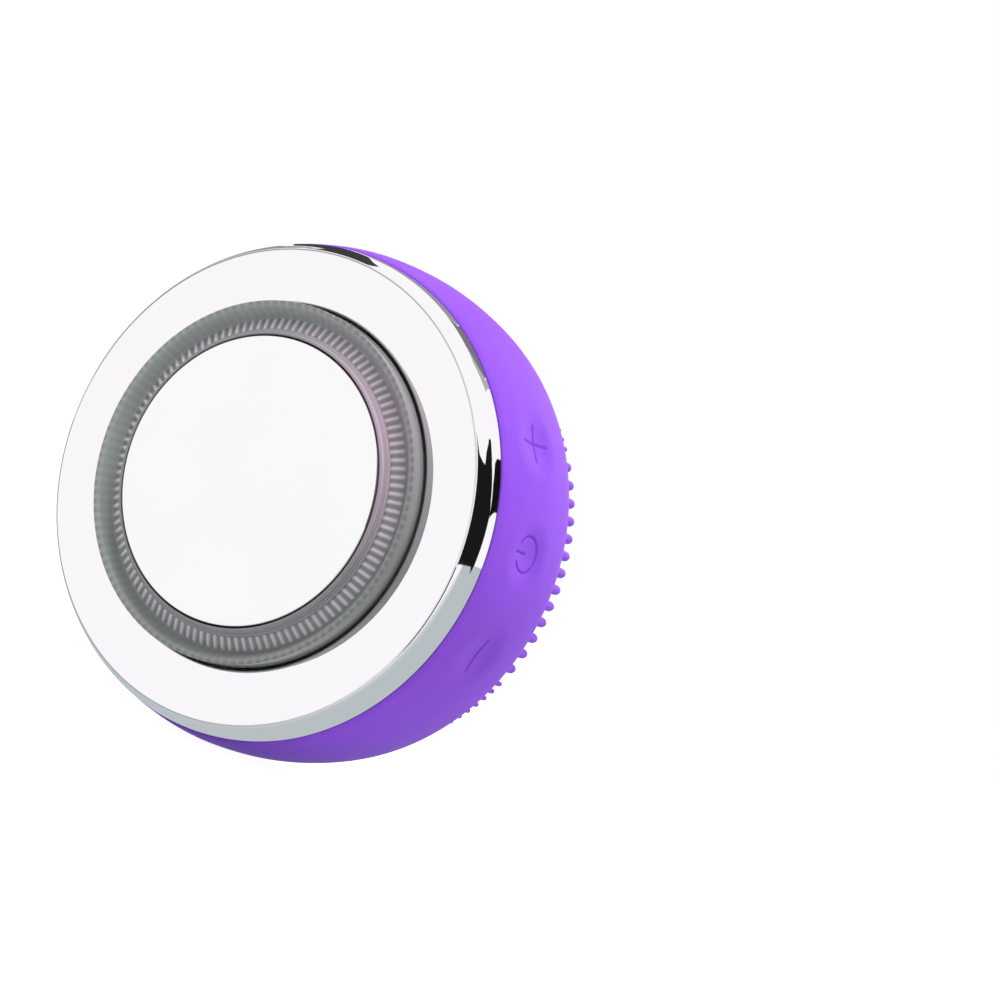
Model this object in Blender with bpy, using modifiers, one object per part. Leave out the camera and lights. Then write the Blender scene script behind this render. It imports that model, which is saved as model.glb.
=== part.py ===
"""Facial cleansing brush: a round silicone body that stands on its rim.

The massage plate, its light ring and the chrome bezel face -Y, the bristle field faces +Y, and
three membrane buttons sit side by side on the rim at +X. Each piece is modelled lying down about
its own Z axis, in millimetres, with Z = 0 in the plane of the bezel's edge and +Z towards the
bristles. One empty stands them all up and puts the middle of the body at the origin.
"""
import math

import bmesh
import bpy
from mathutils import Matrix, Vector

MM = 0.001

# Driving sizes, millimetres.
EDGE_R = 38.0          # edge between the bezel's flat face and its outer band
BODY_R = 41.5          # widest part of the silicone body
GAP = 0.3              # clearance between neighbouring pieces
WALL = 1.6             # housing wall

PLATE_R = 23.2
PLATE_FRONT = -4.14
RING_IN = PLATE_R + 0.4
RING_OUT = 29.0
RING_FRONT = -3.26
RING_FOOT = 4.9
RING_WALL = 1.6
RING_VALLEY = (26.7, -1.0)   # bottom of the vee between the plate and the ring's outer crest
RIBS = 64
RIB_DEPTH = 0.3
BEZEL_IN = RING_OUT + 0.3
BEZEL_THICK = 1.3

SLEEVE_FRONT = 4.95
SLEEVE_IN = 39.2
HOUSING_R = SLEEVE_IN - GAP
HOUSING_FRONT = 5.0
HOUSING_SPLIT = 7.4
REAR_MOUTH = 8.6
REAR_CENTRE = 31.5     # height of the housing's domed back in the middle
REAR_CORNER = 26.8     # where the housing's straight wall ends

FIELD_R = 37.2         # bristle field's backing
FIELD_CENTRE = 33.8    # height of the domed backing in the middle
FIELD_SAG = 2.05       # how much lower the dome is at its edge
BACKING = 1.9
TIP_CENTRE = 39.5
TIP_SAG = 2.4

FINE_RINGS = 11        # rings of fine bristles, with six more in each ring than in the last
FINE_PITCH = 3.32
FINE_R = 0.62
CLUSTER_AXES = (-5.7, 114.3, 234.3)
CLUSTER_PITCH = 2.8
CLUSTER_R = 0.95
CLUSTER_ROWS = 6       # rows on each side of the middle one
LENS_CENTRE = 68.3     # the clusters' inner edge is an arc about this point on the cluster's axis
LENS_R = 40.6

BUTTON_ANGLES = {"plus": 30.8, "power": 6.0, "minus": -18.7}
BUTTON_Z = 15.2
BUTTON_R = 6.6
BUTTON_BACK = 39.9
DISH_R = 36.0
DISH_DEPTH = 0.8
STEM_R = 1.5
STEM_END = 36.2
PLUNGER_R = 1.2
PLUNGER_SPAN = (33.9, 35.9)
SWITCH_SPAN = (31.3, 34.7)
SWITCH_SIZE = (6.0, 3.6)

SCREW_ANGLES = (75.0, 180.0, 285.0)
SCREW_R = 34.9
BOSS_R = 2.6

BOARD_Z = (17.3, 18.5)
BOARD_R = 33.0
CELL_Z = (19.2, 24.9)
CELL_PAD_Z = (25.2, 25.7)
FERRITE_Z = (26.0, 26.4)
COIL_Z = (26.7, 27.4)
MOTOR_Y = 14.0
MOTOR_Z = 22.6
MOTOR_R = 2.8
SHAFT_R = 0.6

BODY_STEPS = 54
SMALL_STEPS = 40
TRIM_STEPS = 32


def clear_scene():
    for ob in list(bpy.data.objects):
        bpy.data.objects.remove(ob, do_unlink=True)


def new_collection(name):
    col = bpy.data.collections.new(name)
    bpy.context.scene.collection.children.link(col)
    return col


def make_material(name, colour, roughness, metallic, alpha=1.0):
    mat = bpy.data.materials.new(name)
    mat.use_nodes = True
    shader = mat.node_tree.nodes["Principled BSDF"]
    shader.inputs["Base Color"].default_value = (*colour, 1.0)
    shader.inputs["Roughness"].default_value = roughness
    shader.inputs["Metallic"].default_value = metallic
    shader.inputs["Alpha"].default_value = alpha
    mat.diffuse_color = (*colour, alpha)
    return mat


def add_object(name, mesh, mat, turn=0.0):
    """Link a piece under the empty that stands the brush up."""
    ob = bpy.data.objects.new(name, mesh)
    PIECES.objects.link(ob)
    ob.parent = STAND
    ob.rotation_euler[2] = turn
    mesh.materials.append(mat)
    return ob


def as_cutter(ob):
    """Move a shape to the cutters, where it shapes other pieces but isn't one itself."""
    for col in list(ob.users_collection):
        col.objects.unlink(ob)
    CUTTERS.objects.link(ob)
    ob.hide_render = True
    ob.display_type = "WIRE"
    return ob


def finish(bm, name):
    mesh = bpy.data.meshes.new(name)
    bmesh.ops.recalc_face_normals(bm, faces=bm.faces)
    bm.to_mesh(mesh)
    bm.free()
    return mesh


def smooth(ob, degrees=30.0):
    ob.data.shade_smooth()
    ob.data.set_sharp_from_angle(angle=math.radians(degrees))


def turned(name, profile, mat, steps=BODY_STEPS, closed=True):
    """A turned piece: (radius, height) points that run down the outer side, spun by a Screw."""
    bm = bmesh.new()
    verts = [bm.verts.new((r * MM, 0.0, z * MM)) for r, z in profile]
    for a, b in zip(verts, verts[1:]):
        bm.edges.new((a, b))
    if closed:
        bm.edges.new((verts[-1], verts[0]))
    mesh = bpy.data.meshes.new(name)
    bm.to_mesh(mesh)
    bm.free()
    ob = add_object(name, mesh, mat, turn=math.pi / steps)
    screw = ob.modifiers.new("spin", "SCREW")
    screw.axis = "Z"
    screw.angle = 2 * math.pi
    screw.steps = steps
    screw.render_steps = steps
    screw.use_merge_vertices = True
    screw.merge_threshold = 0.00001
    screw.use_smooth_shade = False
    return ob


def block(name, low, high, mat, edge=0.0):
    """A box between two corners, with its edges rounded by a Bevel."""
    low, high = Vector(low), Vector(high)
    bm = bmesh.new()
    bmesh.ops.create_cube(bm, size=1.0)
    bmesh.ops.scale(bm, vec=(high - low) * MM, verts=bm.verts)
    bmesh.ops.translate(bm, vec=(high + low) * MM / 2, verts=bm.verts)
    ob = add_object(name, finish(bm, name), mat)
    if edge:
        bevel = ob.modifiers.new("round", "BEVEL")
        bevel.width = edge * MM
        bevel.segments = 2
    return ob


def rod(name, start, end, radius, mat, sides=24):
    """A cylinder between two points."""
    start, end = Vector(start) * MM, Vector(end) * MM
    way = end - start
    place = Matrix.Translation((start + end) / 2) @ way.to_track_quat("Z", "Y").to_matrix().to_4x4()
    bm = bmesh.new()
    bmesh.ops.create_cone(bm, cap_ends=True, segments=sides, radius1=radius * MM,
                          radius2=radius * MM, depth=way.length, matrix=place)
    return add_object(name, finish(bm, name), mat)


def boolean(ob, other, operation):
    step = ob.modifiers.new(operation.lower(), "BOOLEAN")
    step.solver = "EXACT"
    step.operation = operation
    step.object = as_cutter(other)


def cut(ob, other):
    boolean(ob, other, "DIFFERENCE")


def join(ob, other):
    boolean(ob, other, "UNION")


def polar(radius, degrees, z):
    """A point on the body, where the angle is read with the brush standing up."""
    a = math.radians(degrees)
    return Vector((radius * math.cos(a), -radius * math.sin(a), z))


def domed(centre, sag, rim, radii):
    return [(r, centre - sag * (r / rim) ** 2) for r in radii]


# --- front face -------------------------------------------------------------------------------

def massage_plate():
    back = PLATE_FRONT + 1.24
    profile = [(0, back), (22.2, back), (22.2, -0.5), (PLATE_R, -0.5), (PLATE_R, -3.5),
               (22.95, -3.95), (22.4, PLATE_FRONT), (0, PLATE_FRONT)]
    ob = turned("massage_plate", profile, STEEL, SMALL_STEPS, closed=False)
    smooth(ob)


def heating_film():
    turned("heating_film", [(0, -2.2), (21.5, -2.2), (21.5, -2.6), (0, -2.6)], FILM, TRIM_STEPS, closed=False)


def plate_carrier():
    """Cup that holds the plate off the housing; its flange carries the light board."""
    profile = [(27.0, 5.7), (27.0, 4.4), (21.8, 4.4), (21.8, -1.9),
               (6.0, -1.9), (6.0, -0.5), (20.3, -0.5), (20.3, 5.7)]
    turned("plate_carrier", profile, WHITE, SMALL_STEPS)


def light_ring():
    """Clear ring: a ribbed slope falls away from the plate, and a smooth one climbs to a notched
    outer crest with a plain wall. Crests and valleys of the ribs alternate round the ring."""
    skirt = RING_OUT - RING_WALL
    crest = [(RING_OUT, RING_FOOT), (RING_OUT, RING_FRONT), (28.1, -3.1), RING_VALLEY,
             (24.65, -2.1), (23.95, -3.9), (RING_IN, -3.9), (RING_IN, -1.6), (skirt, 0.4),
             (skirt, RING_FOOT)]
    dips = [(0, 0), (0, RIB_DEPTH), (0, 0), (0, RIB_DEPTH), (0, RIB_DEPTH)] + [(0, 0)] * 5
    valley = [(r + dr, z + dz) for (r, z), (dr, dz) in zip(crest, dips)]
    count = 2 * RIBS
    bm = bmesh.new()
    rings = []
    for i in range(count):
        a = 2 * math.pi * i / count
        shape = valley if i % 2 else crest
        rings.append([bm.verts.new((r * MM * math.cos(a), r * MM * math.sin(a), z * MM)) for r, z in shape])
    for i in range(count):
        near, far = rings[i], rings[(i + 1) % count]
        for j in range(len(crest)):
            k = (j + 1) % len(crest)
            bm.faces.new((near[j], near[k], far[k], far[j]))
    add_object("light_ring", finish(bm, "light_ring"), CLEAR)


def light_board():
    """Ring of lamps under the clear ring."""
    ob = turned("light_board", [(27.0, 4.1), (27.0, 3.2), (22.2, 3.2), (22.2, 4.1)], BOARD, TRIM_STEPS)
    lamps = 12
    for i in range(lamps):
        lamp = block(f"lamp_{i}", (23.9, -0.8, 2.2), (25.7, 0.8, 3.6), WHITE)
        lamp.rotation_euler[2] = 2 * math.pi * i / lamps
        join(ob, lamp)


def ring_gasket():
    turned("ring_gasket", [(28.9, 5.7), (28.9, 5.2), (27.5, 5.2), (27.5, 5.7)], RUBBER, TRIM_STEPS)


def chrome_bezel():
    """Flat polished ring with a rounded outer band, a crisp edge and a turned-in inner lip."""
    band = [(39.95, 4.65), (39.7, 3.0), (39.1, 1.5), (38.45, 0.4), (EDGE_R, 0.0)]
    lip = [(BEZEL_IN + 0.35, 0.0), (BEZEL_IN, 0.35), (BEZEL_IN, 3.0), (BEZEL_IN + 1.1, 3.0)]
    back = [(BEZEL_IN + 1.1, BEZEL_THICK), (37.0, BEZEL_THICK), (37.9, 2.6), (37.9, 4.65)]
    profile = band + lip + back
    ob = turned("chrome_bezel", profile, CHROME)
    smooth(ob)


# --- housing ----------------------------------------------------------------------------------

def front_housing():
    """Chassis disc with a rim at its edge, an upstand round the clear ring and a wire hole."""
    profile = [(HOUSING_R, HOUSING_SPLIT), (HOUSING_R, HOUSING_FRONT), (37.2, HOUSING_FRONT),
               (37.2, 6.0), (30.8, 6.0), (30.8, 4.9), (29.3, 4.9), (29.3, 6.0),
               (4.0, 6.0), (4.0, HOUSING_SPLIT)]
    ob = turned("front_housing", profile, WHITE, SMALL_STEPS)
    for i, angle in enumerate(SCREW_ANGLES):
        low, high = polar(SCREW_R, angle, 4.0), polar(SCREW_R, angle, 9.0)
        cut(ob, rod(f"front_screw_hole_{i}", low, high, 1.35, WHITE, 16))


def housing_gasket():
    turned("housing_gasket", [(38.8, 8.3), (38.8, 7.7), (37.4, 7.7), (37.4, 8.3)], RUBBER, TRIM_STEPS)


def rear_housing():
    """Domed cup with three screw bosses fused to its wall and three ports for the button stems."""
    outer = domed(REAR_CENTRE, 2.0, FIELD_R, (0.0, 28.0, FIELD_R))
    inner = domed(REAR_CENTRE - WALL, 1.9, 35.0, (35.0, 20.0, 0.0))
    wall = [(38.3, REAR_CORNER + 1.7), (HOUSING_R, REAR_CORNER), (HOUSING_R, REAR_MOUTH),
            (HOUSING_R - WALL, REAR_MOUTH), (HOUSING_R - WALL, REAR_CORNER - 0.2)]
    ob = turned("rear_housing", outer + wall + inner, WHITE, SMALL_STEPS, closed=False)
    for i, angle in enumerate(SCREW_ANGLES):
        low, high = polar(SCREW_R, angle, 9.0), polar(SCREW_R, angle, 28.4)
        join(ob, rod(f"boss_{i}", low, high, BOSS_R, WHITE, 20))
        low, high = polar(SCREW_R, angle, 8.5), polar(SCREW_R, angle, 18.0)
        cut(ob, rod(f"boss_hole_{i}", low, high, 1.35, WHITE, 16))
    for name, angle in BUTTON_ANGLES.items():
        low, high = polar(36.0, angle, BUTTON_Z), polar(40.0, angle, BUTTON_Z)
        cut(ob, rod(f"{name}_port", low, high, STEM_R + 0.4, WHITE, 16))


def housing_screws():
    profile = [(0, 16.0), (0.5, 15.6), (1.0, 14.6), (1.0, 5.7), (1.9, 5.7), (1.9, 4.9), (1.5, 4.6), (0, 4.6)]
    for i, angle in enumerate(SCREW_ANGLES, 1):
        ob = turned(f"housing_screw_{i}", profile, STEEL, 12, closed=False)
        ob.location = polar(SCREW_R, angle, 0.0) * MM


# --- silicone ---------------------------------------------------------------------------------

def sleeve_side():
    """Outer line of the silicone body, from the bristle side to the bezel."""
    return [(38.5, 31.2), (39.35, 29.9), (39.95, 28.4), (40.4, 26.4), (40.8, 24.0), (41.2, 21.0),
            (BODY_R, 18.0), (BODY_R, 14.5), (41.3, 11.3), (40.9, 8.2), (40.2, SLEEVE_FRONT)]


def silicone_sleeve():
    """Side of the body, with a thin lip against the bezel and a round opening for each button."""
    back = [(FIELD_R + GAP, 31.75)] + sleeve_side()
    inside = [(SLEEVE_IN, SLEEVE_FRONT), (SLEEVE_IN, 26.9), (38.6, 28.8), (FIELD_R + GAP, 29.8)]
    ob = turned("silicone_sleeve", back + inside, SILICONE)
    for name, angle in BUTTON_ANGLES.items():
        low, high = polar(37.0, angle, BUTTON_Z), polar(44.0, angle, BUTTON_Z)
        cut(ob, rod(f"{name}_opening", low, high, BUTTON_R + GAP, SILICONE, 28))
    smooth(ob, 40.0)


def button(name, angle):
    """Dished round pad, flush with the body at its edge, and the stem behind it."""
    pad = rod(f"{name}_button", polar(BUTTON_BACK, angle, BUTTON_Z), polar(43.0, angle, BUTTON_Z),
              BUTTON_R, SILICONE, 28)
    outline = [(0, 24.0)] + sleeve_side()[4:] + [(0, SLEEVE_FRONT)]
    form = turned(f"{name}_form", outline, SILICONE, closed=False)
    boolean(pad, form, "INTERSECT")
    dish = add_object(f"{name}_dish", ball(DISH_R), SILICONE)
    dish.location = polar(BODY_R - DISH_DEPTH + DISH_R, angle, BUTTON_Z) * MM
    cut(pad, dish)
    stem = rod(f"{name}_stem", polar(STEM_END, angle, BUTTON_Z), polar(BUTTON_BACK + 0.4, angle, BUTTON_Z),
               STEM_R, SILICONE, 12)
    join(pad, stem)


def ball(radius):
    bm = bmesh.new()
    bmesh.ops.create_icosphere(bm, subdivisions=4, radius=radius * MM)
    return finish(bm, "ball")


def switch(name, angle):
    """Side-press switch: a case with a round mouth, and the plunger that the stem pushes."""
    wide, tall = SWITCH_SIZE
    case = block(f"{name}_switch", (SWITCH_SPAN[0], -wide / 2, BUTTON_Z - tall / 2),
                 (SWITCH_SPAN[1], wide / 2, BUTTON_Z + tall / 2), DARK)
    case.rotation_euler[2] = math.radians(-angle)
    mouth = rod(f"{name}_mouth", polar(33.2, angle, BUTTON_Z), polar(36.0, angle, BUTTON_Z),
                PLUNGER_R + GAP, DARK, 16)
    cut(case, mouth)
    rod(f"{name}_plunger", polar(PLUNGER_SPAN[0], angle, BUTTON_Z),
        polar(PLUNGER_SPAN[1], angle, BUTTON_Z), PLUNGER_R, WHITE, 12)


def strand(bm, x, y, radius, sides):
    """One bristle: a tapered prism with a blunt tip, rooted inside the backing."""
    away = math.hypot(x, y) / FIELD_R
    root = FIELD_CENTRE - FIELD_SAG * away ** 2 - 0.8
    tip = TIP_CENTRE - TIP_SAG * away ** 2
    place = Matrix.Translation(Vector((x, y, (root + tip) / 2)) * MM)
    turn = Matrix.Rotation(math.atan2(y, x) + math.pi / sides, 4, "Z")
    bmesh.ops.create_cone(bm, cap_ends=True, segments=sides, radius1=1.15 * radius * MM,
                          radius2=0.75 * radius * MM, depth=(tip - root) * MM, matrix=place @ turn)


def in_cluster(x, y, margin=0.0):
    """Whether a point lies in one of the three lens-shaped clusters of thick bristles."""
    for axis in CLUSTER_AXES:
        centre = polar(LENS_CENTRE, -axis, 0.0)
        if math.hypot(x - centre.x, y - centre.y) < LENS_R + margin:
            return True
    return False


def fine_places():
    """Rings of bristles, each ring with six more than the ring inside it."""
    places = [(0.0, 0.0)]
    for ring in range(1, FINE_RINGS + 1):
        radius = ring * FINE_PITCH
        count = 6 * ring
        for i in range(count):
            a = 2 * math.pi * i / count + math.radians(CLUSTER_AXES[0])
            places.append((radius * math.cos(a), radius * math.sin(a)))
    return [p for p in places if not in_cluster(*p, margin=FINE_R + 0.4)]


def cluster_places():
    """Rows along each cluster's axis, from the field's edge in to the arc on its inner side."""
    places = []
    for axis in CLUSTER_AXES:
        a = math.radians(axis)
        for row in range(-CLUSTER_ROWS, CLUSTER_ROWS + 1):
            across = row * CLUSTER_PITCH
            along = math.sqrt((FIELD_R - CLUSTER_R - 0.15) ** 2 - across ** 2)
            while math.hypot(LENS_CENTRE - along, across) < LENS_R - CLUSTER_R / 2:
                places.append((along * math.cos(a) - across * math.sin(a),
                               along * math.sin(a) + across * math.cos(a)))
                along -= CLUSTER_PITCH
    return places


def brush_face():
    """Bristle field fused to its domed silicone backing."""
    top = domed(FIELD_CENTRE, FIELD_SAG, FIELD_R, (0.0, 13.0, 26.0, FIELD_R))
    under = domed(FIELD_CENTRE - BACKING, FIELD_SAG, FIELD_R, (FIELD_R, 22.0, 0.0))
    ob = turned("brush_face", top + under, SILICONE, SMALL_STEPS, closed=False)
    bm = bmesh.new()
    for x, y in fine_places():
        strand(bm, x, y, FINE_R, 3)
    for x, y in cluster_places():
        strand(bm, x, y, CLUSTER_R, 4)
    join(ob, add_object("strands", finish(bm, "strands"), SILICONE))


# --- works inside the housing -----------------------------------------------------------------

def main_board():
    """Round board, notched round the screw bosses, with its larger chips fused on."""
    low, high = BOARD_Z
    outline = [(0, high), (BOARD_R, high), (BOARD_R, low), (0, low)]
    ob = turned("main_board", outline, BOARD, SMALL_STEPS, closed=False)
    chips = {"controller": ((-4, -4), (4, 4)), "charger": ((10, 6), (15, 11)),
             "driver": ((-16, 8), (-11, 12))}
    for name, (near, far) in chips.items():
        join(ob, block(name, (*near, low - 1.1), (*far, low + 0.3), DARK))
    for i, angle in enumerate(SCREW_ANGLES):
        notch = rod(f"notch_{i}", polar(SCREW_R, angle, low - 1), polar(SCREW_R, angle, high + 1),
                    BOSS_R + 0.6, BOARD, 20)
        cut(ob, notch)


def power_cell():
    block("battery", (-19, -21.5, CELL_Z[0]), (15, -0.5, CELL_Z[1]), FOIL, edge=0.8)
    block("battery_pad", (-14, -18, CELL_PAD_Z[0]), (10, -4, CELL_PAD_Z[1]), RUBBER)


def charging_parts():
    low, high = FERRITE_Z
    turned("ferrite_sheet", [(0, high), (16, high), (16, low), (0, low)], DARK, TRIM_STEPS, closed=False)
    low, high = COIL_Z
    turned("charging_coil", [(15, high), (15, low), (7, low), (7, high)], COPPER, TRIM_STEPS)


def motor_parts():
    """Motor in its clip; the half-round weight and its shaft turn in the motor's nose."""
    body = rod("motor", (-12, MOTOR_Y, MOTOR_Z), (4, MOTOR_Y, MOTOR_Z), MOTOR_R, STEEL, 32)
    cut(body, rod("motor_bore", (-2, MOTOR_Y, MOTOR_Z), (5, MOTOR_Y, MOTOR_Z), SHAFT_R + 0.12, STEEL, 24))
    clip = block("motor_clip", (-9, MOTOR_Y - 4.4, BOARD_Z[1] + GAP), (1, MOTOR_Y + 4.4, MOTOR_Z + 1), WHITE)
    cut(clip, rod("clip_bore", (-10, MOTOR_Y, MOTOR_Z), (2, MOTOR_Y, MOTOR_Z), MOTOR_R + GAP, WHITE, 32))


def eccentric_weight():
    """The weight is made about the shaft, so that its origin lies on the joint's axis."""
    centre = Vector((7.2, MOTOR_Y, MOTOR_Z)) * MM
    weight = rod("eccentric_weight", (-2.2, 0, 0), (2.2, 0, 0), 2.6, BRASS, 32)
    weight.location = centre
    half = block("weight_half", (-3, -4, 0.9), (3, 4, 5), BRASS)
    half.location = centre
    cut(weight, half)
    shaft = rod("shaft", (-8.0, 0, 0), (2.8, 0, 0), SHAFT_R, STEEL, 16)
    shaft.location = centre
    join(weight, shaft)


clear_scene()
PIECES = new_collection("facial_cleansing_brush")
CUTTERS = new_collection("cutters")
STAND = bpy.data.objects.new("stand", None)
PIECES.objects.link(STAND)
STAND.rotation_euler[0] = -math.pi / 2
STAND.location[1] = -(PLATE_FRONT + TIP_CENTRE) / 2 * MM

SILICONE = make_material("silicone", (0.30, 0.09, 0.90), 0.45, 0.0)
CHROME = make_material("chrome", (0.90, 0.90, 0.91), 0.05, 1.0)
STEEL = make_material("steel", (0.85, 0.85, 0.86), 0.10, 1.0)
CLEAR = make_material("clear_plastic", (0.62, 0.58, 0.62), 0.08, 0.0, 0.55)
WHITE = make_material("white_plastic", (0.80, 0.80, 0.80), 0.45, 0.0)
DARK = make_material("dark_plastic", (0.04, 0.04, 0.05), 0.50, 0.0)
RUBBER = make_material("rubber", (0.06, 0.06, 0.07), 0.80, 0.0)
BOARD = make_material("circuit_board", (0.02, 0.22, 0.09), 0.50, 0.0)
FILM = make_material("heater_film", (0.55, 0.26, 0.05), 0.40, 0.0)
FOIL = make_material("battery_foil", (0.55, 0.57, 0.62), 0.35, 0.8)
COPPER = make_material("copper", (0.72, 0.36, 0.20), 0.30, 1.0)
BRASS = make_material("brass", (0.72, 0.58, 0.28), 0.30, 1.0)

massage_plate()
heating_film()
plate_carrier()
light_ring()
light_board()
ring_gasket()
chrome_bezel()
front_housing()
housing_gasket()
rear_housing()
housing_screws()
silicone_sleeve()
for button_name, button_angle in BUTTON_ANGLES.items():
    button(button_name, button_angle)
    switch(button_name, button_angle)
brush_face()
main_board()
power_cell()
charging_parts()
motor_parts()
eccentric_weight()
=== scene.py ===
import math

import bmesh
import bpy
from mathutils import Matrix, Vector


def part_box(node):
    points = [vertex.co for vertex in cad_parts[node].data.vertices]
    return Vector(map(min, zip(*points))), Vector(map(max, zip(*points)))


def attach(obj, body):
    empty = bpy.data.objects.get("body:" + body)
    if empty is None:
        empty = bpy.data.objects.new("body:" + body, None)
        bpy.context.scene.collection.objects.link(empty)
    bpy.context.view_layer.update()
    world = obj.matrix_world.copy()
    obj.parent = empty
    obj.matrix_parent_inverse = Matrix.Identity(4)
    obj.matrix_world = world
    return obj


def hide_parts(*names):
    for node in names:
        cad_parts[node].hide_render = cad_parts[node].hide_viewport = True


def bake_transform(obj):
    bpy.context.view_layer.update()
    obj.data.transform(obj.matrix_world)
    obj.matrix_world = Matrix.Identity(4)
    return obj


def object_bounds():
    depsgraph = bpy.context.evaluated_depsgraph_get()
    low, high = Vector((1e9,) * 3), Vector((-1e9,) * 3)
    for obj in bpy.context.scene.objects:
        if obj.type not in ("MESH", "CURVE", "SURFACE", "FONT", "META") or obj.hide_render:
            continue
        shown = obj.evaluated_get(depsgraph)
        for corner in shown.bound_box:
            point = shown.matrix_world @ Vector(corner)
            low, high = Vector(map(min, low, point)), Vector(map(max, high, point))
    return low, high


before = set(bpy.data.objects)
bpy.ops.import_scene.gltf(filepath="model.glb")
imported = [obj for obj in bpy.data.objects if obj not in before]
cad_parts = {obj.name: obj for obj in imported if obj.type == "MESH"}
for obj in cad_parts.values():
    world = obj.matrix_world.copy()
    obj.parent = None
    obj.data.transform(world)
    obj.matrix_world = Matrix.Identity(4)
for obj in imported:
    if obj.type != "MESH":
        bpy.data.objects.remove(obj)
cad_low, cad_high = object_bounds()

# --- white table, lamps and camera ------------------------------------------------------------
# The brush stands on its rim on a plain white table in a white room, lit softly from above, from
# the left and from behind. Cards that only metal sees give the chrome something dark to mirror.

edge_radius = 0.038
edge_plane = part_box("chrome_bezel")[0].y
table_half = 6.0
card_reach = 0.6


def share_of_rays(nodes, links):
    """1 where an eye, a mirror or clear plastic looks, 0 for the light that falls on things."""
    path = nodes.new("ShaderNodeLightPath")
    eye_or_mirror = nodes.new("ShaderNodeMath")
    eye_or_mirror.operation = "MAXIMUM"
    any_look = nodes.new("ShaderNodeMath")
    any_look.operation = "MAXIMUM"
    links.new(path.outputs["Is Camera Ray"], eye_or_mirror.inputs[0])
    links.new(path.outputs["Is Glossy Ray"], eye_or_mirror.inputs[1])
    links.new(eye_or_mirror.outputs[0], any_look.inputs[0])
    links.new(path.outputs["Is Transmission Ray"], any_look.inputs[1])
    return any_look.outputs[0]


def table_white():
    """Matt white laminate that keeps soft shadows and reads as white between them. Polished metal
    sees it white in front of the brush and a cool grey behind it."""
    mat = bpy.data.materials.new("table_white")
    mat.use_nodes = True
    nodes, links = mat.node_tree.nodes, mat.node_tree.links
    nodes.clear()
    out = nodes.new("ShaderNodeOutputMaterial")
    both = nodes.new("ShaderNodeAddShader")
    paint = nodes.new("ShaderNodeBsdfDiffuse")
    glow = nodes.new("ShaderNodeEmission")
    level = nodes.new("ShaderNodeMapRange")
    coords = nodes.new("ShaderNodeTexCoord")
    grain = nodes.new("ShaderNodeTexNoise")
    tone = nodes.new("ShaderNodeMapRange")
    grain.inputs["Scale"].default_value = 60.0
    tone.inputs["To Min"].default_value = 0.48
    tone.inputs["To Max"].default_value = 0.50
    level.inputs["To Min"].default_value = 0.20
    level.inputs["To Max"].default_value = 0.93
    links.new(coords.outputs["Object"], grain.inputs["Vector"])
    links.new(grain.outputs["Fac"], tone.inputs["Value"])
    links.new(tone.outputs["Result"], paint.inputs["Color"])
    links.new(share_of_rays(nodes, links), level.inputs["Value"])
    links.new(level.outputs["Result"], glow.inputs["Strength"])
    links.new(paint.outputs[0], both.inputs[0])
    links.new(glow.outputs[0], both.inputs[1])
    place = nodes.new("ShaderNodeSeparateXYZ")
    behind = nodes.new("ShaderNodeMapRange")
    behind.inputs["From Min"].default_value = -0.045
    behind.inputs["From Max"].default_value = -0.015
    mirrored = nodes.new("ShaderNodeMix")
    mirrored.data_type = "RGBA"
    mirrored.inputs["A"].default_value = (1.0, 1.0, 1.0, 1.0)
    mirrored.inputs["B"].default_value = (0.50, 0.56, 0.57, 1.0)
    image = nodes.new("ShaderNodeEmission")
    path = nodes.new("ShaderNodeLightPath")
    seen = nodes.new("ShaderNodeMixShader")
    links.new(coords.outputs["Object"], place.inputs["Vector"])
    links.new(place.outputs["Y"], behind.inputs["Value"])
    links.new(behind.outputs["Result"], mirrored.inputs["Factor"])
    links.new(mirrored.outputs["Result"], image.inputs["Color"])
    links.new(path.outputs["Is Glossy Ray"], seen.inputs[0])
    links.new(both.outputs[0], seen.inputs[1])
    links.new(image.outputs[0], seen.inputs[2])
    links.new(seen.outputs[0], out.inputs["Surface"])
    return mat


def linked(name, bm, mat):
    """An object in the scene, made from a mesh in one finish."""
    mesh = bpy.data.meshes.new(name)
    bm.to_mesh(mesh)
    bm.free()
    mesh.materials.append(mat)
    made = bpy.data.objects.new(name, mesh)
    bpy.context.scene.collection.objects.link(made)
    return made


def lay_table():
    """The table's top is level with the brush's lowest point."""
    bm = bmesh.new()
    bmesh.ops.create_grid(bm, x_segments=1, y_segments=1, size=table_half)
    sheet = linked("table", bm, table_white())
    sheet.location.z = cad_low.z


def mirrored_card(name, shade, corners):
    """A card that only polished metal sees. Each corner is a direction from the brush, in degrees
    round it and above it, and one below the brush's foot lies on the table."""
    mat = bpy.data.materials.new(name)
    mat.use_nodes = True
    nodes, links = mat.node_tree.nodes, mat.node_tree.links
    nodes.clear()
    paint = nodes.new("ShaderNodeEmission")
    paint.inputs["Color"].default_value = (shade, shade, shade, 1.0)
    out = nodes.new("ShaderNodeOutputMaterial")
    links.new(paint.outputs[0], out.inputs["Surface"])
    bm = bmesh.new()
    for around, above in corners:
        turn, rise = math.radians(around), math.radians(above)
        way = Vector((math.cos(turn), math.sin(turn), 0.0)) * math.cos(rise)
        way.z = math.sin(rise)
        just_over_table = 0.98 * cad_low.z
        reach = card_reach if way.z > cad_low.z else min(card_reach, just_over_table / way.z)
        bm.verts.new(way * reach)
    bmesh.ops.contextual_create(bm, geom=bm.verts)
    card = linked(name, bm, mat)
    card.visible_camera = False
    card.visible_diffuse = False
    card.visible_transmission = False
    card.visible_shadow = False


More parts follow.
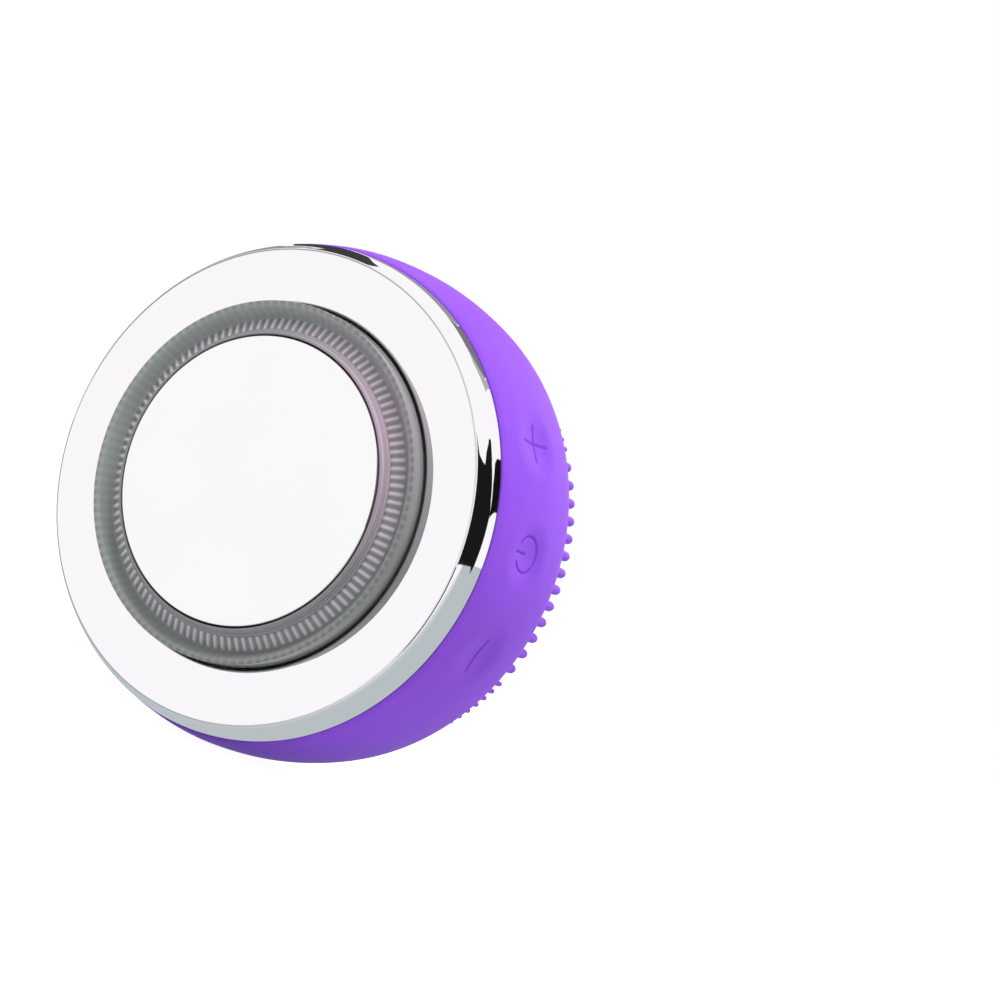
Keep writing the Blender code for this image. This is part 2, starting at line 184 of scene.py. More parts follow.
def soft_lamp(name, place, size, watts):
    """A square lamp that faces the brush and isn't mirrored in it."""
    light = bpy.data.lights.new(name, "AREA")
    light.size = size
    light.energy = watts
    lamp = bpy.data.objects.new(name, light)
    lamp.location = place
    lamp.rotation_euler = (-Vector(place)).to_track_quat("-Z", "Y").to_euler()
    lamp.visible_glossy = False
    bpy.context.scene.collection.objects.link(lamp)


def white_room():
    """Walls that look plain white and light the brush at less than half of that."""
    world = bpy.data.worlds.new("white_room")
    world.use_nodes = True
    bpy.context.scene.world = world
    nodes, links = world.node_tree.nodes, world.node_tree.links
    walls = nodes["Background"]
    walls.inputs["Color"].default_value = (1.0, 1.0, 1.0, 1.0)
    level = nodes.new("ShaderNodeMapRange")
    level.inputs["To Min"].default_value = 0.42
    level.inputs["To Max"].default_value = 1.0
    links.new(share_of_rays(nodes, links), level.inputs["Value"])
    links.new(level.outputs["Result"], walls.inputs["Strength"])


def set_camera():
    """A long lens, level with the middle of the brush and rolled, a third of the way round it."""
    across, roll, aim = math.radians(32.31), math.radians(20.56), math.radians(2.959)
    distance, aside, above = 16.0, 0.1624, 0.0623
    look = Vector((-math.sin(across), math.cos(across), 0.0))
    level_right = Vector((math.cos(across), math.sin(across), 0.0))
    right = level_right * math.cos(roll) + Vector((0, 0, 1)) * math.sin(roll)
    down = look.cross(right)
    back_off = look * distance - right * aside - down * above
    turned = look * math.cos(aim) + right * math.sin(aim)
    right = right * math.cos(aim) - look * math.sin(aim)
    lens = bpy.data.cameras.new("camera")
    lens.sensor_width = 36.0
    lens.lens = 139.3
    lens.clip_start = 0.01
    camera = bpy.data.objects.new("camera", lens)
    place = Vector((0.0, edge_plane, 0.0)) - back_off * edge_radius
    axes = Matrix((right, -down, -turned)).transposed()
    camera.matrix_world = Matrix.Translation(place) @ axes.to_4x4()
    bpy.context.scene.collection.objects.link(camera)
    bpy.context.scene.camera = camera


bpy.context.scene.view_settings.view_transform = "Standard"
set_camera()
white_room()
lay_table()
soft_lamp("lamp_above", (0.25, -0.20, 0.95), 0.5, 7.5)
soft_lamp("lamp_left", (-0.80, -0.50, 0.40), 0.5, 2.5)
soft_lamp("lamp_behind", (0.45, 0.85, 0.55), 0.6, 6.0)
mirrored_card("card_beside", 0.010, [
    (-33, -2), (-30, 43), (0, 35), (7, 34), (12, 38), (20, 42), (26, 41), (23, 33), (25, 22),
    (30, 17), (27, 10), (22, 0), (18, -3.5), (13, -1)])
mirrored_card("card_below", 0.02, [(-38, -2.5), (-29, -2.5), (-31, -25), (-38, -40)])
mirrored_card("card_beyond", 0.006, [
    (30, 15), (56, 15.5), (62, 17), (60, 26), (50, 30), (38, 31), (30, 26)])
mirrored_card("card_streak", 0.05, [
    (124.5, 8), (127, 25), (128, 36), (131, 44), (136, 56), (140, 58), (152, 61), (165, 66),
    (170, 62), (162, 50), (157, 44), (148, 40), (142, 40), (139, 29), (133, 21), (126.5, 10)])
mirrored_card("card_behind", 0.30, [
    (133, 4), (160, 4), (160, 42), (149, 39), (143, 38), (140, 28), (134, 20)])
mirrored_card("card_arc_pale", 0.45, [(62, 46), (76, 40), (76, 56), (62, 58)])
mirrored_card("card_arc_dark", 0.20, [(76.5, 40), (100, 32), (100, 52), (76.5, 57)])
mirrored_card("card_arc_end", 0.33, [(100.5, 18), (124, 10), (127, 36), (100.5, 52)])

# --- housing halves and screws ----------------------------------------------------------------
# Two white moulded shells, closed by three small steel screws. They have the fine matt grain of
# a spark-eroded mould and never show once the silicone is on.

MM = 0.001


def grained(name, colour, rough, grain, depth, mottle=0.05, metallic=0.0):
    """A finish with faint clouds in its colour and gloss, and a fine grain of a given depth in
    metres."""
    mat = bpy.data.materials.new(name)
    mat.use_nodes = True
    nodes, links = mat.node_tree.nodes, mat.node_tree.links
    shader = nodes["Principled BSDF"]
    shader.inputs["Metallic"].default_value = metallic
    coords = nodes.new("ShaderNodeTexCoord")
    coords.name = "coords"
    cloud = nodes.new("ShaderNodeTexNoise")
    cloud.name = "cloud"
    cloud.inputs["Scale"].default_value = 70.0
    cloud.inputs["Detail"].default_value = 4.0
    tint = nodes.new("ShaderNodeValToRGB")
    tint.name = "tint"
    tint.color_ramp.elements[0].position = 0.35
    tint.color_ramp.elements[1].position = 0.65
    tint.color_ramp.elements[0].color = (*[c * (1 - mottle) for c in colour], 1.0)
    tint.color_ramp.elements[1].color = (*colour, 1.0)
    gloss = nodes.new("ShaderNodeMapRange")
    gloss.inputs["To Min"].default_value = rough[0]
    gloss.inputs["To Max"].default_value = rough[1]
    skin = nodes.new("ShaderNodeTexNoise")
    skin.name = "skin"
    skin.inputs["Scale"].default_value = grain
    skin.inputs["Detail"].default_value = 3.0
    relief = nodes.new("ShaderNodeBump")
    relief.name = "relief"
    relief.inputs["Strength"].default_value = 0.35
    relief.inputs["Distance"].default_value = depth
    links.new(coords.outputs["Object"], cloud.inputs["Vector"])
    links.new(coords.outputs["Object"], skin.inputs["Vector"])
    links.new(cloud.outputs["Fac"], tint.inputs["Fac"])
    links.new(tint.outputs["Color"], shader.inputs["Base Color"])
    links.new(cloud.outputs["Fac"], gloss.inputs["Value"])
    links.new(gloss.outputs["Result"], shader.inputs["Roughness"])
    links.new(skin.outputs["Fac"], relief.inputs["Height"])
    links.new(relief.outputs["Normal"], shader.inputs["Normal"])
    return mat


def dress(mat, *names):
    """Give a CAD piece its finish."""
    for name in names:
        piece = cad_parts[name]
        piece.data.materials.clear()
        piece.data.materials.append(mat)


white_shell = grained("white_shell", (0.78, 0.78, 0.77), (0.42, 0.52), 2600.0, 0.00004,
                      mottle=0.03)
screw_steel = grained("screw_steel", (0.62, 0.62, 0.63), (0.22, 0.38), 5200.0, 0.00001,
                      mottle=0.10, metallic=1.0)
dress(white_shell, "front_housing", "rear_housing")
dress(screw_steel, "housing_screw_1", "housing_screw_2", "housing_screw_3")

# --- motor and its weight ---------------------------------------------------------------------
# A small can motor lies in a white clip and spins a half-round brass weight, which makes the
# brush tremble. The can is drawn steel with lines along it; the weight is turned and tarnished.


def drawn_lines(mat, stretch):
    """Stretch a finish's grain into fine lines along one axis."""
    nodes, links = mat.node_tree.nodes, mat.node_tree.links
    coords = nodes["coords"]
    comb = nodes.new("ShaderNodeMapping")
    comb.inputs["Scale"].default_value = stretch
    links.new(coords.outputs["Object"], comb.inputs["Vector"])
    links.new(comb.outputs["Vector"], nodes["skin"].inputs["Vector"])


motor_can = grained("motor_can", (0.60, 0.61, 0.62), (0.25, 0.40), 3000.0, 0.00001,
                    mottle=0.08, metallic=1.0)
drawn_lines(motor_can, (0.05, 1.0, 1.0))
tarnished_brass = grained("tarnished_brass", (0.70, 0.52, 0.24), (0.24, 0.42), 3500.0, 0.00001,
                          mottle=0.22, metallic=1.0)
drawn_lines(tarnished_brass, (1.0, 0.15, 0.15))
clip_white = grained("clip_white", (0.74, 0.74, 0.72), (0.45, 0.55), 2200.0, 0.00004, mottle=0.04)
dress(motor_can, "motor")
dress(tarnished_brass, "eccentric_weight")
dress(clip_white, "motor_clip")

# --- cell, charging coil and ferrite ----------------------------------------------------------
# A flat pouch cell in silver foil sits on a foam pad. Behind it a wound copper coil lies on a
# dark ferrite sheet, close under the bristles, so that the brush charges through its back.


def wound(name, colour, pitch):
    """Enamelled wire wound in a flat spiral: each turn catches the light along its crown."""
    mat = grained(name, colour, (0.24, 0.34), 2400.0, 0.00001, mottle=0.12, metallic=1.0)
    nodes, links = mat.node_tree.nodes, mat.node_tree.links
    coords = nodes["coords"]
    turns = nodes.new("ShaderNodeTexWave")
    turns.wave_type = "RINGS"
    turns.rings_direction = "Y"
    turns.inputs["Scale"].default_value = math.pi / 10 / pitch
    links.new(coords.outputs["Object"], turns.inputs["Vector"])
    links.new(turns.outputs["Fac"], nodes["relief"].inputs["Height"])
    nodes["relief"].inputs["Distance"].default_value = pitch / 2
    return mat


pouch_foil = grained("pouch_foil", (0.55, 0.57, 0.60), (0.25, 0.45), 260.0, 0.00015,
                     mottle=0.10, metallic=0.9)
foam_grey = grained("foam_grey", (0.10, 0.10, 0.11), (0.85, 0.95), 1800.0, 0.00020, mottle=0.35)
ferrite_dark = grained("ferrite_dark", (0.045, 0.045, 0.05), (0.50, 0.70), 3200.0, 0.00005,
                       mottle=0.30)
coil_copper = wound("coil_copper", (0.72, 0.33, 0.17), 0.35 * MM)
dress(pouch_foil, "battery")
dress(foam_grey, "battery_pad")
dress(ferrite_dark, "ferrite_sheet")
dress(coil_copper, "charging_coil")

# --- boards and switches ----------------------------------------------------------------------
# A green main board carries the chips, and a white ring-shaped one the lamps under the clear
# ring. Three black side-press switches with white plungers stand behind the buttons.


def board_green(name, colour, copper, scale):
    """Solder mask over copper: tracks show as paler, raised paths under the green."""
    mat = grained(name, colour, (0.28, 0.40), 2600.0, 0.00002, mottle=0.06)
    nodes, links = mat.node_tree.nodes, mat.node_tree.links
    coords = nodes["coords"]
    plan = nodes.new("ShaderNodeMapping")
    plan.inputs["Rotation"].default_value = (math.pi / 2, 0.0, 0.0)
    tracks = nodes.new("ShaderNodeTexBrick")
    tracks.offset_frequency = 3
    tracks.inputs["Scale"].default_value = scale
    tracks.inputs["Mortar Size"].default_value = 0.035
    tracks.inputs["Brick Width"].default_value = 1.1
    tracks.inputs["Row Height"].default_value = 0.22
    under = nodes.new("ShaderNodeMix")
    under.data_type = "RGBA"
    under.inputs["B"].default_value = (*copper, 1.0)
    links.new(coords.outputs["Object"], plan.inputs["Vector"])
    links.new(plan.outputs["Vector"], tracks.inputs["Vector"])
    links.new(tracks.outputs["Fac"], under.inputs["Factor"])
    links.new(nodes["tint"].outputs["Color"], under.inputs["A"])
    links.new(under.outputs["Result"], nodes["Principled BSDF"].inputs["Base Color"])
    links.new(tracks.outputs["Fac"], nodes["relief"].inputs["Height"])
    return mat


main_green = board_green("main_green", (0.015, 0.16, 0.06), (0.05, 0.34, 0.13), 260.0)
lamp_white = grained("lamp_white", (0.72, 0.73, 0.72), (0.30, 0.45), 2600.0, 0.00002, mottle=0.08)
switch_black = grained("switch_black", (0.03, 0.03, 0.035), (0.40, 0.55), 2400.0, 0.00003,
                       mottle=0.20)
plunger_white = grained("plunger_white", (0.76, 0.76, 0.74), (0.35, 0.45), 2600.0, 0.00002)
dress(main_green, "main_board")
dress(lamp_white, "light_board")
dress(switch_black, "plus_switch", "power_switch", "minus_switch")
dress(plunger_white, "plus_plunger", "power_plunger", "minus_plunger")

# --- plate carrier, heating film and seals ----------------------------------------------------
# A grey cup holds the massage plate off the housing, with an amber film heater under the plate.
# Two black rubber rings seal the clear ring and the housing against water.


def film_heater():
    """Amber polyimide with an etched track that winds back and forth under it."""
    mat = grained("film_heater", (0.50, 0.22, 0.04), (0.25, 0.38), 2000.0, 0.00001, mottle=0.10)
    nodes, links = mat.node_tree.nodes, mat.node_tree.links
    coords = nodes["coords"]
    track = nodes.new("ShaderNodeTexWave")
    track.bands_direction = "X"
    track.inputs["Scale"].default_value = 160.0
    track.inputs["Distortion"].default_value = 0.4
    over = nodes.new("ShaderNodeMix")
    over.data_type = "RGBA"
    over.inputs["B"].default_value = (0.30, 0.16, 0.07, 1.0)
    links.new(coords.outputs["Object"], track.inputs["Vector"])
    links.new(track.outputs["Fac"], over.inputs["Factor"])
    links.new(nodes["tint"].outputs["Color"], over.inputs["A"])
    links.new(over.outputs["Result"], nodes["Principled BSDF"].inputs["Base Color"])
    return mat


carrier_grey = grained("carrier_grey", (0.30, 0.30, 0.31), (0.45, 0.55), 2200.0, 0.00004)
seal_rubber = grained("seal_rubber", (0.035, 0.035, 0.038), (0.60, 0.80), 2400.0, 0.00006,
                      mottle=0.25)
dress(carrier_grey, "plate_carrier")
dress(film_heater(), "heating_film")
dress(seal_rubber, "ring_gasket", "housing_gasket")

# --- massage plate ----------------------------------------------------------------------------
# Pressed stainless plate with a softly rounded edge and a short skirt that snaps on the carrier.
# It is lapped nearly to a mirror: faint rings from the lapping and a few hairlines are left.

plate_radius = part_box("massage_plate")[1].x / MM
plate_front = (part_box("massage_plate")[0].y - edge_plane) / MM
plate_rounding = 0.32
plate_wall = 1.0
plate_thickness = 1.24
skirt_end = -0.5
weld_distance = 0.003 * MM


def turned(profile, steps, closed=True):
    """Turn an outline of (radius, depth) in millimetres about the brush's axis. Depth runs from
    the bezel's edge towards the bristles."""
    bm = bmesh.new()
    verts = [bm.verts.new((r * MM, edge_plane + d * MM, 0.0)) for r, d in profile]
    edges = [bm.edges.new(pair) for pair in zip(verts, verts[1:])]
    if closed:
        edges.append(bm.edges.new((verts[-1], verts[0])))
    bmesh.ops.spin(bm, geom=verts + edges, cent=(0, 0, 0), axis=(0, 1, 0), dvec=(0, 0, 0),
                   angle=2 * math.pi, steps=steps, use_merge=True, use_duplicate=False)
    bmesh.ops.remove_doubles(bm, verts=bm.verts, dist=weld_distance)
    bmesh.ops.recalc_face_normals(bm, faces=bm.faces)
    return bm


def show(name, bm, mat, body=None, sharp=32.0):
    """Make the piece from its mesh, smooth but for its real edges, and let it ride on a body."""
    piece = linked(name, bm, mat)
    piece.data.shade_smooth()
    piece.data.set_sharp_from_angle(angle=math.radians(sharp))
    if body:
        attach(piece, body)
    return piece


def lapped_steel():
    """Bright steel whose grain runs in circles about the middle of the plate."""
    mat = grained("lapped_steel", (0.95, 0.95, 0.95), (0.07, 0.12), 900.0, 0.000004,
                  mottle=0.01, metallic=1.0)
    nodes, links = mat.node_tree.nodes, mat.node_tree.links
    coords = nodes["coords"]
    laps = nodes.new("ShaderNodeTexWave")
    laps.wave_type = "RINGS"
    laps.rings_direction = "Y"
    laps.inputs["Scale"].default_value = 420.0
    laps.inputs["Distortion"].default_value = 3.0
    laps.inputs["Detail"].default_value = 3.0
    laps.inputs["Detail Scale"].default_value = 0.6
    links.new(coords.outputs["Object"], laps.inputs["Vector"])
    links.new(laps.outputs["Fac"], nodes["relief"].inputs["Height"])
    nodes["relief"].inputs["Strength"].default_value = 0.06
    return mat


def massage_plate():
    front, edge, bend = plate_front, plate_radius, plate_rounding
    inside, behind = edge - plate_wall, front + plate_thickness
    flat = [(r, front) for r in (0.0, 6.0, 12.0, 18.0, 22.0)]
    rounding = [(edge - bend + bend * math.sin(a), front + bend - bend * math.cos(a))
                for a in [math.radians(15 * i) for i in range(7)]]
    skirt = [(edge, skirt_end), (inside, skirt_end), (inside, behind), (0.0, behind)]
    bm = turned(flat + rounding + skirt, 240, closed=False)
    piece = show("plate", bm, lapped_steel(), "body")
    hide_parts("massage_plate")


massage_plate()

# --- clear light ring -------------------------------------------------------------------------
# Smoky clear plastic between plate and bezel. A ribbed slope falls from a stepped inner rim to a
# valley, and a plain slope climbs to a notched crest whose wall overhangs a groove by the bezel.

ring_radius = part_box("light_ring")[1].x / MM
ring_wall = 1.6
ring_back = 4.9
rim_end, slope_end, crest_start = 24.6, 26.5, 28.25
notch_depth = -3.1
rib_count = 120
rib_steps = 6
rib_height = 0.16
rib_out, rib_up = 0.48, 0.88


def smoky_plastic():
    """Tinted clear plastic. Each part of the ring is painted with the tone of what shows through
    it, with painted highlights and painted shade on top.
    """
    mat = grained("smoky_plastic", (1.0, 1.0, 1.0), (0.10, 0.20), 1500.0, 0.00001, mottle=0.12)
    nodes, links = mat.node_tree.nodes, mat.node_tree.links
    shader = nodes["Principled BSDF"]
    nodes["cloud"].inputs["Scale"].default_value = 28.0
    tone = nodes.new("ShaderNodeVertexColor")
    tone.layer_name = "tone"
    clouded = nodes.new("ShaderNodeMix")
    clouded.data_type = "RGBA"
    clouded.blend_type = "MULTIPLY"
    clouded.inputs["Factor"].default_value = 1.0
    haze = nodes.new("ShaderNodeAttribute")
    haze.attribute_name = "haze"
    links.new(tone.outputs["Color"], clouded.inputs["A"])
    links.new(nodes["tint"].outputs["Color"], clouded.inputs["B"])
    links.new(clouded.outputs["Result"], shader.inputs["Base Color"])
    links.new(haze.outputs["Fac"], shader.inputs["Roughness"])
    shader.inputs["Transmission Weight"].default_value = 0.15
    shader.inputs["IOR"].default_value = 1.49
    return mat


def ring_tint_and_painted_light(radius, depth, turn, rib):
    """Rosy on the button side and cool grey elsewhere, with painted highlights on the rib crowns,
    on the crest's notches and on two lines of the inner rim. Outside the ribs painted shade makes
    it darker towards the foot on the button side."""
    blush = max(0.0, 1.0 - abs(turn - 40.0) / 60.0)
    # The 0.14 * rib term is a painted highlight on the ribs.
    grey, rose, level = (0.42, 0.46, 0.445), (0.44, 0.41, 0.44), 0.92 + 0.14 * rib
    if radius < rim_end:
        grey, rose = (0.34, 0.33, 0.35), (0.58, 0.44, 0.55)
        # Painted highlights: two bright lines on the edges of the stepped inner rim.
        on_painted_highlight_line = any(abs(radius - line) < 0.02 for line in (24.34, 23.93))
        level = 1.5 if on_painted_highlight_line else 1.0
    elif radius < slope_end:
        # On the ribbed slope, 1.8 * rib is a painted highlight on the rib crowns.
        grey, rose, level = (0.33, 0.32, 0.34), (0.36, 0.31, 0.355), 1.0 + 1.8 * rib
    elif radius > crest_start:
        grey, rose = (0.40, 0.42, 0.42), (0.42, 0.40, 0.42)
        # On the notched top of the crest, 0.35 * rib is a painted highlight on the notches.
        level = 0.75 + (0.35 * rib if depth < notch_depth else 0.25)
    # Painted shade: outside the ribbed slope the ring is darker near -32 degrees round, towards the
    # foot on the button side, and lighter opposite.
    if radius > slope_end:
        level *= 0.93 - 0.21 * math.cos(math.radians(turn + 32.0))
    return [level * (g + (r - g) * blush) for g, r in zip(grey, rose)] + [1.0]


def light_ring():
    """The ribs are raised on the turned ring: one step in six is a crown, its neighbours flanks."""
    wide = ring_radius
    wall = [(wide - 0.2, ring_back), (wide - 0.2, -0.10), (wide - 0.03, -0.10), (wide, -0.13),
            (wide, -2.8), (wide, -3.18), (wide - 0.05, -3.25), (wide - 0.35, -3.25)]
    climb = [(28.2, -3.12), (28.05, -2.98), (27.9, -2.8), (26.98, -1.30), (26.84, -1.10),
             (26.7, -1.02)]
    ribbed = [(26.52, -1.06), (26.40, -1.12), (25.6, -1.56), (24.82, -1.99), (24.70, -2.06),
              (24.62, -2.16)]
    rim = [(24.56, -2.5), (24.44, -2.6), (24.34, -2.66), (24.27, -3.0), (24.13, -3.12),
           (24.04, -3.18), (23.93, -3.66), (23.80, -3.84), (23.60, -3.90), (23.42, -3.86)]
    inside = [(23.42, -1.6), (26.4, 0.4), (wide - ring_wall, 0.4), (wide - ring_wall, ring_back)]
    bm = turned(wall + climb + ribbed + rim + inside, rib_count * rib_steps)
    tone = bm.verts.layers.float_color.new("tone")
    haze = bm.verts.layers.float.new("haze")
    shape = {2: 0.6, 3: 1.0, 4: 0.6}
    for v in bm.verts:
        radius = math.hypot(v.co.x, v.co.z) / MM
        depth = (v.co.y - edge_plane) / MM
        turn = math.degrees(math.atan2(v.co.z, v.co.x))
        rib = shape.get(round(turn / 360.0 * rib_count * rib_steps) % rib_steps, 0.0)
        v[tone] = ring_tint_and_painted_light(radius, depth, turn, rib)
        v[haze] = 0.32 if 26.6 < radius < 28.1 else 0.16
        on_ribbed_slope = 24.75 < radius < 26.46 and depth < -1.0
        if on_ribbed_slope:
            out = Vector((v.co.x, 0.0, v.co.z)).normalized()
            v.co += (out * rib_out - Vector((0, rib_up, 0))) * rib * rib_height * MM
    piece = show("ring", bm, smoky_plastic(), "body", 28.0)
    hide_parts("light_ring")


light_ring()

# --- chrome bezel -----------------------------------------------------------------------------
# Plated ring, mirror bright: a flat face with a crisp outer edge, a rounded band outside it and a
# small radius where it turns in round the clear ring.

bezel_bore = 29.3
bezel_back = 4.65


def rounded_line(points, pieces):
    """A smooth line through (radius, depth) points, with as many pieces from each to the next."""
    ends = [points[0], *points, points[-1]]
    line = []
    for four in zip(ends, ends[1:], ends[2:], ends[3:]):
        for t in [i / pieces for i in range(pieces)]:
            line.append(tuple(
                0.5 * (2 * b + (c - a) * t + (2 * a - 5 * b + 4 * c - d) * t ** 2
                       + (3 * b - a - 3 * c + d) * t ** 3)
                for a, b, c, d in zip(*four)))
    return [*line, points[-1]]


def bright_chrome():
    """Plating over plastic: a mirror with the faintest orange peel, and painted shade along its two
    edges.
    """
    mat = grained("bright_chrome", (0.955, 0.93, 0.96), (0.025, 0.05), 500.0, 0.000002,
                  mottle=0.01, metallic=1.0)
    nodes, links = mat.node_tree.nodes, mat.node_tree.links
    nodes["relief"].inputs["Strength"].default_value = 0.08
    # Painted shade: the edge attribute mixes the mirror's colour towards dark grey at the crease
    # and the bore.
    edge = nodes.new("ShaderNodeAttribute")
    edge.attribute_name = "edge"
    painted_edge_shade = nodes.new("ShaderNodeMix")
    painted_edge_shade.data_type = "RGBA"
    painted_edge_shade.inputs["B"].default_value = (0.16, 0.16, 0.17, 1.0)
    links.new(edge.outputs["Fac"], painted_edge_shade.inputs["Factor"])
    links.new(nodes["tint"].outputs["Color"], painted_edge_shade.inputs["A"])
    links.new(painted_edge_shade.outputs["Result"], nodes["Principled BSDF"].inputs["Base Color"])
    return mat


def chrome_bezel():
    bore = bezel_bore
    band = rounded_line([(39.94, bezel_back), (39.68, 3.0), (39.08, 1.5), (38.46, 0.42),
                         (38.18, 0.10)], 6)
    crease = [(38.10, 0.03), (38.0, 0.0)]
    face = [(37.93, 0.0), (37.85, 0.0), (33.0, 0.0), (bore + 0.6, 0.0), (bore + 0.45, 0.0)]
    turn_in = [(bore + 0.2, 0.05), (bore + 0.06, 0.18), (bore, 0.4)]
    back = [(bore, 3.0), (bore + 1.1, 3.0), (bore + 1.1, 1.3), (37.0, 1.3), (37.9, 2.6),
            (37.9, bezel_back)]
    bm = turned(band + crease + face + turn_in + back, 300)
    edge = bm.verts.layers.float.new("edge")
    for v in bm.verts:
        radius = math.hypot(v.co.x, v.co.z) / MM
        # Painted shade: a dark line at the crease, strongest about 150 degrees round, and a dark
        # turn-in at the bore.
        at_crease = 37.96 < radius < 38.2 and v.co.y - edge_plane < 0.2 * MM
        crease_painted_shade = 0.55 + 0.35 * math.cos(math.atan2(v.co.z, v.co.x) - math.radians(150))
        v[edge] = crease_painted_shade if at_crease else 0.9 if radius < bezel_bore + 0.3 else 0.0
    piece = show("bezel", bm, bright_chrome(), "body", 25.0)
    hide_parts("chrome_bezel")


chrome_bezel()

# --- silicone body ----------------------------------------------------------------------------
# Soft violet silicone moulded over the housing: a thin lip against the bezel, a full round side
# and a shoulder that runs into the domed ground of the bristles. It is matt, with a fine grain.

body_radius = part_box("silicone_sleeve")[1].x / MM - 0.04
body_steps = 360
skin_thickness = 0.9
ground_radius = 37.2
button_height = 15.2
button_angles = {"plus": 30.8, "power": 6.0, "minus": -18.7}
patch_radius = 6.8


def ground_height(radius):
    """Depth of the silicone's surface between the bristles: a shallow dome."""
    return 33.8 - 2.05 * (radius / ground_radius) ** 2


def violet_silicone(name):
    """Satin silicone. A little light goes into it, and painted shade makes the signs and the far
    slope of each dish a darker violet.
    """
    mat = grained(name, (0.31, 0.096, 0.84), (0.42, 0.54), 3600.0, 0.00002)
    nodes, links = mat.node_tree.nodes, mat.node_tree.links
    shader = nodes["Principled BSDF"]
    # Painted shade: the attribute mixes the colour towards dark violet.
    painted_dish_shade = nodes.new("ShaderNodeAttribute")
    painted_dish_shade.attribute_name = "painted_dish_shade"
    deeper = nodes.new("ShaderNodeMix")
    deeper.data_type = "RGBA"
    deeper.inputs["B"].default_value = (0.13, 0.03, 0.46, 1.0)
    links.new(painted_dish_shade.outputs["Fac"], deeper.inputs["Factor"])
    links.new(nodes["tint"].outputs["Color"], deeper.inputs["A"])
    links.new(deeper.outputs["Result"], shader.inputs["Base Color"])
    shader.inputs["Subsurface Weight"].default_value = 0.10
    shader.inputs["Subsurface Scale"].default_value = 0.002
    shader.inputs["Subsurface Radius"].default_value = (0.5, 0.25, 1.0)
    shader.inputs["Specular IOR Level"].default_value = 0.10
    return mat


def side_line(pieces):
    """The body's side, from behind its lip over the widest place to the rim of the dome."""
    wide = body_radius
    return rounded_line([(40.32, 5.9), (40.52, 6.6), (40.93, 8.7), (41.25, 11.3), (wide, 14.6),
                         (wide, 17.8), (41.18, 21.0), (40.8, 24.0), (40.4, 26.4), (39.92, 28.3),
                         (39.25, 29.8), (38.35, 30.95), (37.2, 31.65), (35.8, 31.93)], pieces)


def whole_skin():
    """The silicone's outer face all round, from the bead on its lip to the middle of the dome."""
    lip = [(39.4, 5.3), (39.45, 5.06), (39.65, 4.97), (39.95, 4.98), (40.14, 5.06), (40.24, 5.22),
           (40.25, 5.42), (40.18, 5.58), (40.17, 5.68)]
    dome = [(r, ground_height(r)) for r in (34.0, 30.0, 25.0, 19.0, 12.0, 5.0, 0.0)]
    bm = turned(lip + side_line(5) + dome, body_steps, closed=False)
    if min(bm.faces, key=lambda f: -f.calc_center_median().x).normal.x < 0:
        bmesh.ops.reverse_faces(bm, faces=bm.faces)
    return bm


def over_button(face, name):
    """Whether a face of the skin belongs to the round patch that a button presses."""
    middle = face.calc_center_median()
    turn = math.degrees(math.atan2(middle.z, middle.x)) - button_angles[name]
    across = (middle.y - edge_plane) / MM - button_height
    return math.hypot(math.radians(turn) * body_radius, across) < patch_radius


def silicone_body():
    """The skin but for the three patches of it that the buttons press."""
    bm = whole_skin()
    patches = [f for f in bm.faces if any(over_button(f, name) for name in button_angles)]
    bmesh.ops.delete(bm, geom=patches, context="FACES")
    bmesh.ops.solidify(bm, geom=bm.faces, thickness=skin_thickness * MM)
    piece = show("skin", bm, violet, "body", 50.0)
    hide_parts("silicone_sleeve")


violet = violet_silicone("violet_silicone")
silicone_body()

# --- buttons ----------------------------------------------------------------------------------
# Three soft dishes moulded in the silicone, each with its sign sunk in it: plus, power, minus.
# Each dish and the stem behind it are one piece.

dish_radius = 6.6
dish_depth = 0.8
pad_thickness = 0.6
sign_half_width = 0.40
sign_depth = 0.20
sign_radius = 2.95
# Strength of the painted shade in the signs and on the far slope of each dish.
sign_painted_shade, far_slope_painted_shade = 0.55, 0.22
stem_radius, stem_start, stem_end = 1.5, 40.2, 36.2
side_points = side_line(40)


def skin_radius(depth):
    """Radius of the body's side at a depth."""
    for (r0, d0), (r1, d1) in zip(side_points, side_points[1:]):
        if d0 <= depth <= d1:
            return r0 + (r1 - r0) * (depth - d0) / (d1 - d0)
    return body_radius


def to_bar(u, v, a, b):
    """Distance from a point to the bar between two points."""
    way = (b[0] - a[0], b[1] - a[1])
    t = ((u - a[0]) * way[0] + (v - a[1]) * way[1]) / (way[0] ** 2 + way[1] ** 2)
    t = min(max(t, 0.0), 1.0)
    return math.hypot(u - a[0] - way[0] * t, v - a[1] - way[1] * t)


def sign_distance(name, u, v):
    """Distance from the middle line of a button's sign. They are read from the bezel's side."""
    if name == "minus":
        return to_bar(u, v, (-3.0, 0.0), (3.0, 0.0))
    if name == "plus":
        return min(to_bar(u, v, (-3.0, 0.0), (3.0, 0.0)),
                   to_bar(u, v, (0.0, -3.5), (0.0, 3.5)))
    opening = math.radians(32)
    turn = math.atan2(u, -v)
    end = (sign_radius * math.sin(opening), -sign_radius * math.cos(opening))
    ring = abs(math.hypot(u, v) - sign_radius)
    if abs(turn) < opening:
        ring = math.hypot(abs(u) - end[0], v - end[1])
    return min(ring, to_bar(u, v, (0.0, -3.2), (0.0, -0.3)))


def soft_step(t):
    """From 0 to 1 with no kink at either end."""
    t = min(max(t, 0.0), 1.0)
    return t * t * (3 - 2 * t)


